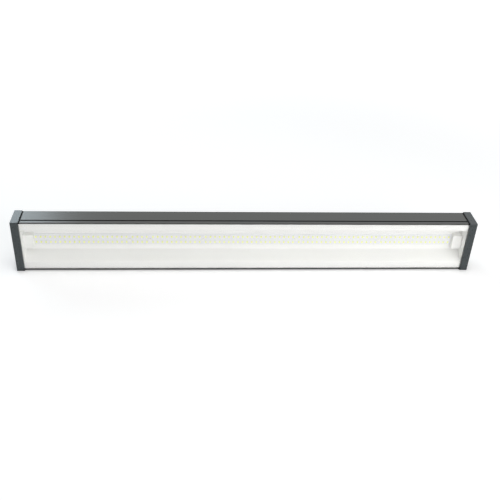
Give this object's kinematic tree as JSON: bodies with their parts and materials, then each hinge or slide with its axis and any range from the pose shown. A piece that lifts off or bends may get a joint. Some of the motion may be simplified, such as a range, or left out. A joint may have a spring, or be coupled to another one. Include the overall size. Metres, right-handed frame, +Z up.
{
  "type": "linear led high bay light",
  "caption": "Slim linear industrial light: grey aluminium extrusion with end caps, clear flat lens, white folded reflector, LED boards and hanging brackets on the back.",
  "frame": {"origin": "under the middle of the whole lamp, on the surface that the lower sides of the end caps stand on", "axes": "+X along the lamp, +Y from the lens to the back, +Z up"},
  "size_m": [0.76, 0.0562, 0.0928],
  "materials": {
    "housing_coat": "satin grey coated extrusion",
    "cap_coat": "fine textured grey coat on a casting",
    "clear_lens": "clear polycarbonate sheet",
    "white_sheet": "white coated sheet",
    "white_plastic": "moulded white plastic",
    "board_white": "white solder mask on a metal core board",
    "led_phosphor": "yellow phosphor in a white package",
    "black_rubber": "black rubber",
    "black_nylon": "moulded black nylon",
    "zinc_steel": "zinc plated steel",
    "driver_case": "moulded driver case",
    "thermal_pad": "soft thermal pad",
    "lead_sleeve": "insulated wire"
  },
  "bodies": {
    "root": {"housing_profile": "housing_coat", "front_lens": "clear_lens", "lens_seal_upper": "black_rubber", "lens_seal_lower": "black_rubber", "reflector_tray": "white_sheet", "reflector_end_left": "white_plastic", "reflector_end_right": "white_plastic", "led_board_left": "board_white", "led_board_right": "board_white", "led_chips_left": "led_phosphor", "led_chips_right": "led_phosphor", "board_screws": "white_plastic", "wire_cover_left": "white_plastic", "wire_cover_right": "white_plastic", "end_cap_left": "cap_coat", "end_cap_right": "cap_coat", "end_gasket_left": "black_rubber", "end_gasket_right": "black_rubber", "end_cap_screws_left": "zinc_steel", "end_cap_screws_right": "zinc_steel", "led_driver": "driver_case", "driver_pad": "thermal_pad", "terminal_block": "white_plastic", "mains_leads": "lead_sleeve", "led_lead_left": "lead_sleeve", "led_lead_right": "lead_sleeve", "gland_body": "black_nylon", "gland_nut": "black_nylon", "gland_seal": "black_rubber", "gland_lock_nut": "black_nylon", "hanging_bracket_left": "zinc_steel", "hanging_bracket_right": "zinc_steel", "bracket_screws": "zinc_steel", "slot_nuts": "zinc_steel"}
  },
  "joints": []
}
